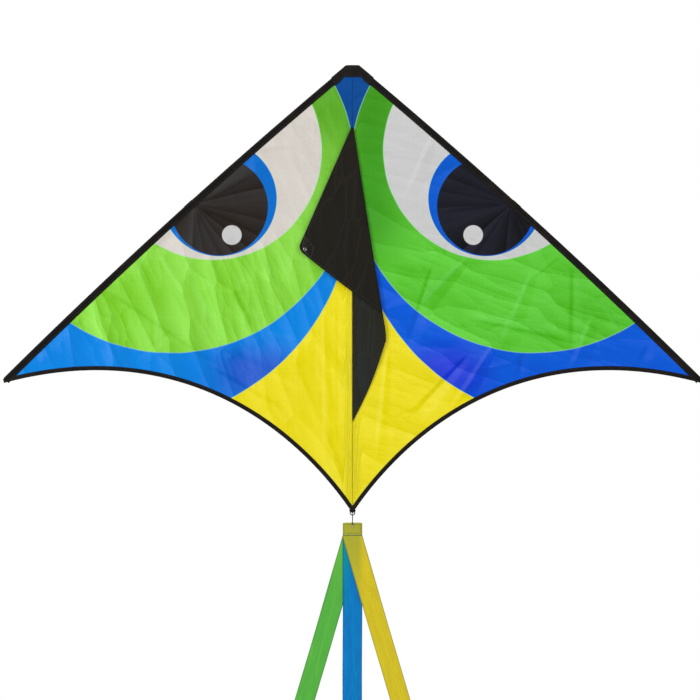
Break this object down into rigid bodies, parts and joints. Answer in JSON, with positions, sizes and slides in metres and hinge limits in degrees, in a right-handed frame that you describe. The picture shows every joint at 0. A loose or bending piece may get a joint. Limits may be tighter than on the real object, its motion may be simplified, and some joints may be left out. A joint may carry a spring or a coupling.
{
  "type": "delta kite",
  "caption": "Delta kite with a folding triangular keel, rods in cloth sleeves, a spreader rod in side cradles and a fan of ribbons as its tail.",
  "frame": {"origin": "middle of the nose's flat top edge, in the plane of the sail", "axes": "+X along the span, +Y from the sail's front to its back, +Z from the tail to the nose"},
  "size_m": [1.396, 0.0229, 1.6909],
  "materials": {
    "cloth_print": "printed satin-weave polyester",
    "cloth_black": "woven black binding cloth",
    "keel_black": "plain black ripstop",
    "webbing_black": "braided cord",
    "rod_carbon": "smooth glass-fibre rod",
    "cap_vinyl": "soft vinyl",
    "fitting_plastic": "moulded nylon",
    "metal_eyelet": "satin nickel",
    "metal_link": "satin steel wire",
    "ribbon_head": "folded and sewn ribbon ends",
    "ribbon_blue": "crinkled thin polyester",
    "ribbon_yellow": "crinkled thin polyester",
    "ribbon_green": "crinkled thin polyester"
  },
  "bodies": {
    "spine": {"center_seam": "cloth_print", "spine_pocket": "cloth_black", "spine_rod": "rod_carbon", "spine_cap_nose": "cap_vinyl", "spine_cap_tail": "cap_vinyl", "nose_patch": "cloth_black", "rear_corner": "cloth_black", "tail_loop": "webbing_black"},
    "wing_left": {"sail_left": "cloth_print", "sleeve_left": "cloth_black", "spar_left": "rod_carbon", "spar_cap_nose_left": "cap_vinyl", "spar_cap_tip_left": "cap_vinyl", "binding_left": "cloth_black", "nose_flap_left": "cloth_black", "fitting_left": "fitting_plastic"},
    "wing_right": {"sail_right": "cloth_print", "sleeve_right": "cloth_black", "spar_right": "rod_carbon", "spar_cap_nose_right": "cap_vinyl", "spar_cap_tip_right": "cap_vinyl", "binding_right": "cloth_black", "nose_flap_right": "cloth_black", "fitting_right": "fitting_plastic"},
    "spreader": {"spreader_rod": "rod_carbon", "spreader_cap_left": "cap_vinyl", "spreader_cap_right": "cap_vinyl"},
    "keel_root": {"keel_inner": "keel_black"},
    "keel_tip": {"keel_outer": "keel_black", "keel_patch": "keel_black", "keel_eyelet": "metal_eyelet", "keel_washer": "metal_eyelet"},
    "link": {"tail_link": "metal_link"},
    "head": {"tail_head": "ribbon_head"},
    "blue": {"ribbon_blue": "ribbon_blue"},
    "yellow": {"ribbon_yellow": "ribbon_yellow"},
    "green": {"ribbon_green": "ribbon_green"}
  },
  "joints": [
    {"name": "left_wing_fold", "type": "hinge", "parent": "spine", "child": "wing_left", "pos_m": [-0.008, 0, -0.4], "axis": [0, 0, -1], "range_deg": [0, 80]},
    {"name": "right_wing_fold", "type": "hinge", "parent": "spine", "child": "wing_right", "pos_m": [0.008, 0, -0.4], "axis": [0, 0, 1], "range_deg": [0, 80]},
    {"name": "spreader_release", "type": "slide", "parent": "spine", "child": "spreader", "axis": [0, 1, 0], "range_m": [0, 0.56]},
    {"name": "keel_stand", "type": "hinge", "parent": "spine", "child": "keel_root", "pos_m": [0, -0.0018, -0.4], "axis": [0, 0, -1], "range_deg": [0, 85]},
    {"name": "keel_unfold", "type": "hinge", "parent": "keel_root", "child": "keel_tip", "pos_m": [0.02956, -0.00315, -0.3158], "axis": [-0.1478, 0, 0.989], "range_deg": [0, 170]},
    {"name": "link_swing", "type": "hinge", "parent": "spine", "child": "link", "pos_m": [0, 0, -0.898], "axis": [1, 0, 0], "range_deg": [-40, 40]},
    {"name": "head_swing", "type": "hinge", "parent": "link", "child": "head", "pos_m": [0, 0, -0.91915], "axis": [0, 1, 0], "range_deg": [-35, 35]},
    {"name": "blue_flutter", "type": "hinge", "parent": "head", "child": "blue", "pos_m": [0, 0, -0.93995], "axis": [1, 0, 0], "range_deg": [-30, 30]},
    {"name": "yellow_spread", "type": "hinge", "parent": "blue", "child": "yellow", "pos_m": [0, -0.0014, -0.93995], "axis": [-1, 0, 0], "range_deg": [0, 20]},
    {"name": "green_spread", "type": "hinge", "parent": "blue", "child": "green", "pos_m": [0, 0.0014, -0.93995], "axis": [1, 0, 0], "range_deg": [0, 20]}
  ],
  "couplings": [
    {"joint": "right_wing_fold", "follows": "left_wing_fold", "ratio": 1},
    {"joint": "spreader_release", "follows": "left_wing_fold", "m_per_rad": 0.4},
    {"joint": "keel_unfold", "follows": "keel_stand", "ratio": 2}
  ]
}
